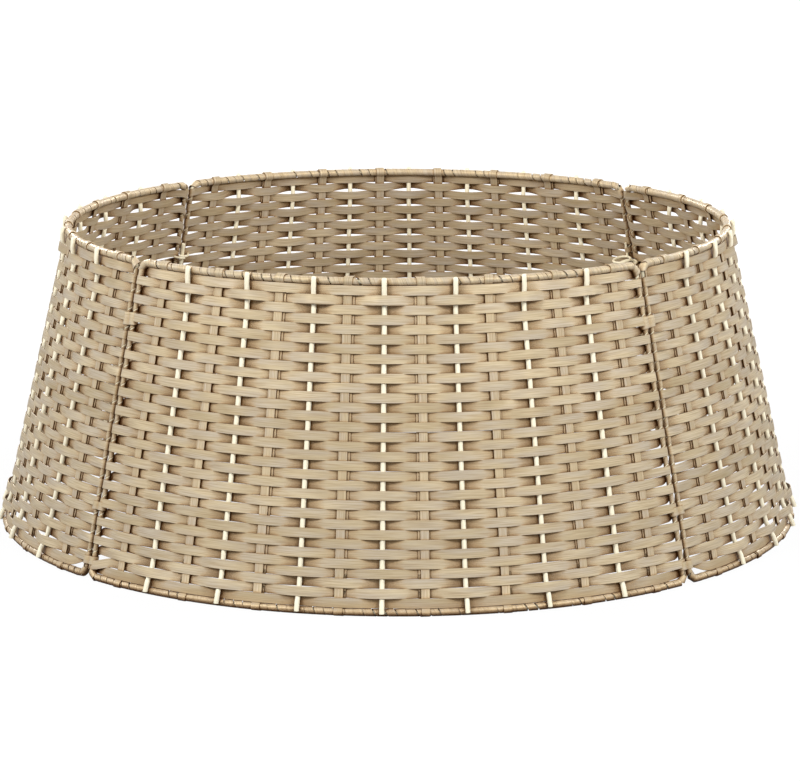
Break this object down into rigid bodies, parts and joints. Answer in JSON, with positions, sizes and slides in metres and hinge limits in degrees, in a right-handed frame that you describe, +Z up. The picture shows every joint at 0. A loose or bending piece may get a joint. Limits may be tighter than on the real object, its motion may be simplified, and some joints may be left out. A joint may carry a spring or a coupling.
{
  "type": "christmas tree collar",
  "caption": "Tapered ring woven from flat strip and round cane that stands on the floor and hides a Christmas tree's stand; its panels swing apart at the seams.",
  "frame": {"origin": "on the floor, in the middle of the ring", "axes": "+Z up, -Y towards the front panel, +X towards the right panel"},
  "size_m": [0.7074, 0.7074, 0.2617],
  "materials": {
    "strip": "satin flat strip",
    "cane": "satin peeled cane",
    "wire": "steel wire with a cream coat"
  },
  "bodies": {
    "front": {"front_frame_wire": "wire", "front_woven_web": "strip", "front_top_rim_wrap": "strip", "front_bottom_rim_wrap": "strip", "front_cane_stake_1": "cane", "front_cane_stake_2": "cane", "front_cane_stake_3": "cane", "front_cane_stake_4": "cane", "front_cane_stake_5": "cane", "front_cane_stake_6": "cane", "front_cane_stake_7": "cane"},
    "left": {"left_frame_wire": "wire", "left_woven_web": "strip", "left_top_rim_wrap": "strip", "left_bottom_rim_wrap": "strip", "left_cane_stake_1": "cane", "left_cane_stake_2": "cane", "left_cane_stake_3": "cane", "left_cane_stake_4": "cane", "left_cane_stake_5": "cane", "left_cane_stake_6": "cane", "left_cane_stake_7": "cane", "left_seam_tie_bottom": "strip", "left_seam_tie_lower": "strip", "left_seam_tie_upper": "strip"},
    "right": {"right_frame_wire": "wire", "right_woven_web": "strip", "right_top_rim_wrap": "strip", "right_bottom_rim_wrap": "strip", "right_cane_stake_1": "cane", "right_cane_stake_2": "cane", "right_cane_stake_3": "cane", "right_cane_stake_4": "cane", "right_cane_stake_5": "cane", "right_cane_stake_6": "cane", "right_cane_stake_7": "cane", "right_seam_tie_bottom": "strip", "right_seam_tie_lower": "strip", "right_seam_tie_upper": "strip", "right_catch_ring": "cane", "right_catch_band": "strip"},
    "back": {"back_frame_wire": "wire", "back_woven_web": "strip", "back_top_rim_wrap": "strip", "back_bottom_rim_wrap": "strip", "back_cane_stake_1": "cane", "back_cane_stake_2": "cane", "back_cane_stake_3": "cane", "back_cane_stake_4": "cane", "back_cane_stake_5": "cane", "back_cane_stake_6": "cane", "back_cane_stake_7": "cane", "seam_ring_lower": "cane", "seam_ring_upper": "cane", "back_catch_ring": "cane", "back_catch_band": "strip"},
    "peg_lower": {"seam_peg_lower": "cane"},
    "peg_upper": {"seam_peg_upper": "cane"}
  },
  "joints": [
    {"name": "left_seam_hinge", "type": "hinge", "parent": "front", "child": "left", "pos_m": [-0.24261, -0.2477, 0.0028], "axis": [0.1626, 0.1626, 0.9732], "range_deg": [0, 90]},
    {"name": "right_seam_hinge", "type": "hinge", "parent": "front", "child": "right", "pos_m": [0.24261, -0.2477, 0.0028], "axis": [0.1626, -0.1626, -0.9732], "range_deg": [0, 90]},
    {"name": "back_seam_hinge", "type": "hinge", "parent": "left", "child": "back", "pos_m": [-0.2477, 0.24261, 0.0028], "axis": [0.1626, -0.1626, 0.9732], "range_deg": [0, 90]},
    {"name": "lower_peg_slide", "type": "slide", "parent": "back", "child": "peg_lower", "axis": [0.1626, -0.1626, 0.9732], "range_m": [0, 0.036]},
    {"name": "upper_peg_slide", "type": "slide", "parent": "back", "child": "peg_upper", "axis": [0.1626, -0.1626, 0.9732], "range_m": [0, 0.036]}
  ]
}
